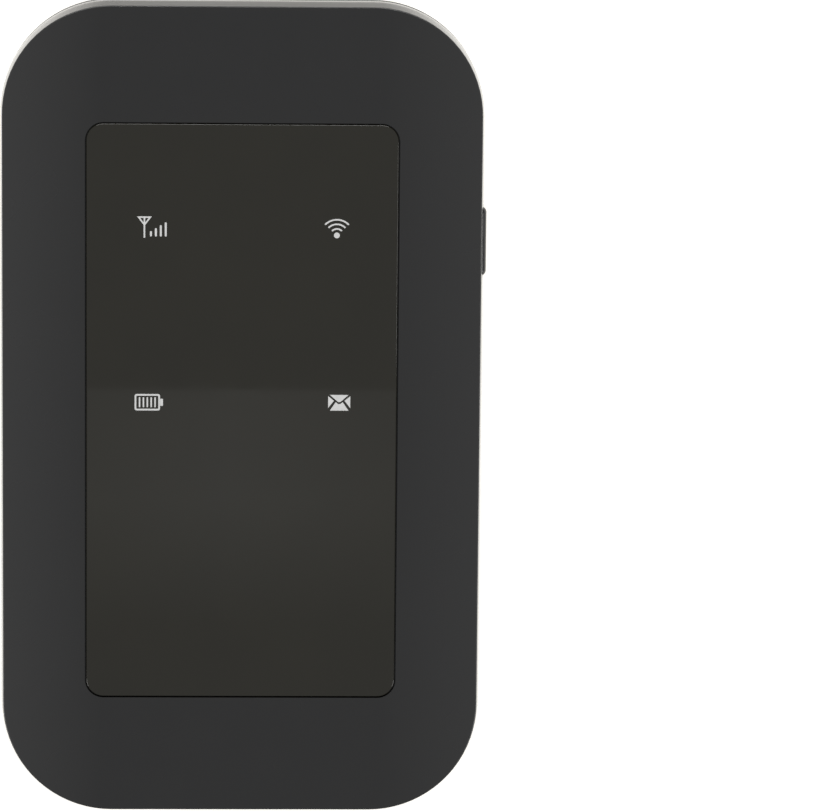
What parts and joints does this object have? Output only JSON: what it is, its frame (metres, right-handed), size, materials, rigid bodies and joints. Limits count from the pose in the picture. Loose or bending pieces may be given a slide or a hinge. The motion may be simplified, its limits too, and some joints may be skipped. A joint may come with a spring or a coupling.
{
  "type": "mobile hotspot",
  "caption": "Pocket mobile hotspot with a glossy pictogram window, a side power key, a micro-USB port, a removable rear cover and a battery pack.",
  "frame": {"origin": "centre of the flat rear face that the device rests on", "axes": "+X to the device's right, where the power key is; +Y towards its top edge, away from the micro-USB port; +Z out of its front face"},
  "size_m": [0.0764, 0.1288, 0.015],
  "materials": {
    "front_shell": "satin, fine moulded texture",
    "rear_shell": "matt, fine moulded texture",
    "smoked_window": "polished, smoked, printed behind",
    "adhesive_foam": "matt black foam tape",
    "white_diffuser": "translucent white",
    "black_plastic": "moulded, slightly rough",
    "led_body": "clear resin on a white base",
    "black_screw": "black oxide",
    "plated_screw": "nickel plated",
    "circuit_board": "green solder mask with copper tracks",
    "shield_steel": "tinned sheet",
    "chip_epoxy": "moulded epoxy",
    "capacitor_ceramic": "fired ceramic with tinned ends",
    "inductor_ferrite": "dark ferrite",
    "tantalum_epoxy": "moulded epoxy with a polarity band",
    "thermal_silicone": "soft, grey",
    "plated_steel": "nickel-plated sheet",
    "gold_contact": "gold plated",
    "socket_plastic": "glass-filled moulding",
    "antenna_copper": "etched copper foil",
    "blank_label": "white, blank",
    "battery_cell": "cell in dark film",
    "battery_cap": "moulded end cap",
    "battery_label": null,
    "key_plastic": "satin gloss",
    "switch_plunger": "nylon"
  },
  "bodies": {
    "rear_cover": {"rear_cover": "rear_shell"},
    "main_unit": {"front_cover": "front_shell", "display_window": "smoked_window", "window_adhesive": "adhesive_foam", "icon_diffusers": "white_diffuser", "light_shroud": "black_plastic", "status_leds": "led_body", "mid_frame": "black_plastic", "frame_screws": "black_screw", "board_screws": "plated_screw", "main_board": "circuit_board", "modem_shield_can": "shield_steel", "rf_shield_can": "shield_steel", "wifi_shield_can": "shield_steel", "modem_chip": "chip_epoxy", "memory_chip": "chip_epoxy", "rf_chip": "chip_epoxy", "wifi_chip": "chip_epoxy", "power_chip": "chip_epoxy", "ceramic_capacitors": "capacitor_ceramic", "power_inductors": "inductor_ferrite", "tantalum_capacitors": "tantalum_epoxy", "thermal_pad": "thermal_silicone", "micro_usb_shell": "plated_steel", "micro_usb_tongue": "black_plastic", "micro_usb_contacts": "gold_contact", "sim_socket_base": "socket_plastic", "sim_socket_cover": "plated_steel", "sim_contacts": "gold_contact", "battery_connector": "socket_plastic", "battery_springs": "gold_contact", "power_switch_body": "plated_steel", "reset_switch_body": "plated_steel", "antenna_carrier": "black_plastic", "main_antenna": "antenna_copper", "diversity_antenna": "antenna_copper", "wifi_antenna": "plated_steel", "antenna_spring_clips": "gold_contact", "rf_test_ports": "gold_contact", "rating_label": "blank_label"},
    "battery": {"battery_cell": "battery_cell", "battery_cap": "battery_cap", "battery_contacts": "gold_contact", "battery_label": "battery_label"},
    "power_key": {"power_button": "key_plastic", "power_switch_plunger": "switch_plunger"},
    "reset_key": {"reset_plunger": "switch_plunger"}
  },
  "joints": [
    {"name": "cover_release", "type": "slide", "parent": "rear_cover", "child": "main_unit", "axis": [0, 0, 1], "range_m": [0, 0.03]},
    {"name": "battery_release", "type": "slide", "parent": "main_unit", "child": "battery", "axis": [0, 0, -1], "range_m": [0, 0.015]},
    {"name": "power_press", "type": "slide", "parent": "main_unit", "child": "power_key", "axis": [-1, 0, 0], "range_m": [0, 0.0003], "stiffness_N_per_m": 3000, "springref_m": -0.0003},
    {"name": "reset_press", "type": "slide", "parent": "main_unit", "child": "reset_key", "axis": [0, 1, 0], "range_m": [0, 0.00025], "stiffness_N_per_m": 3000, "springref_m": -0.0003}
  ],
  "couplings": [
    {"joint": "battery_release", "follows": "cover_release", "ratio": 0.5}
  ]
}
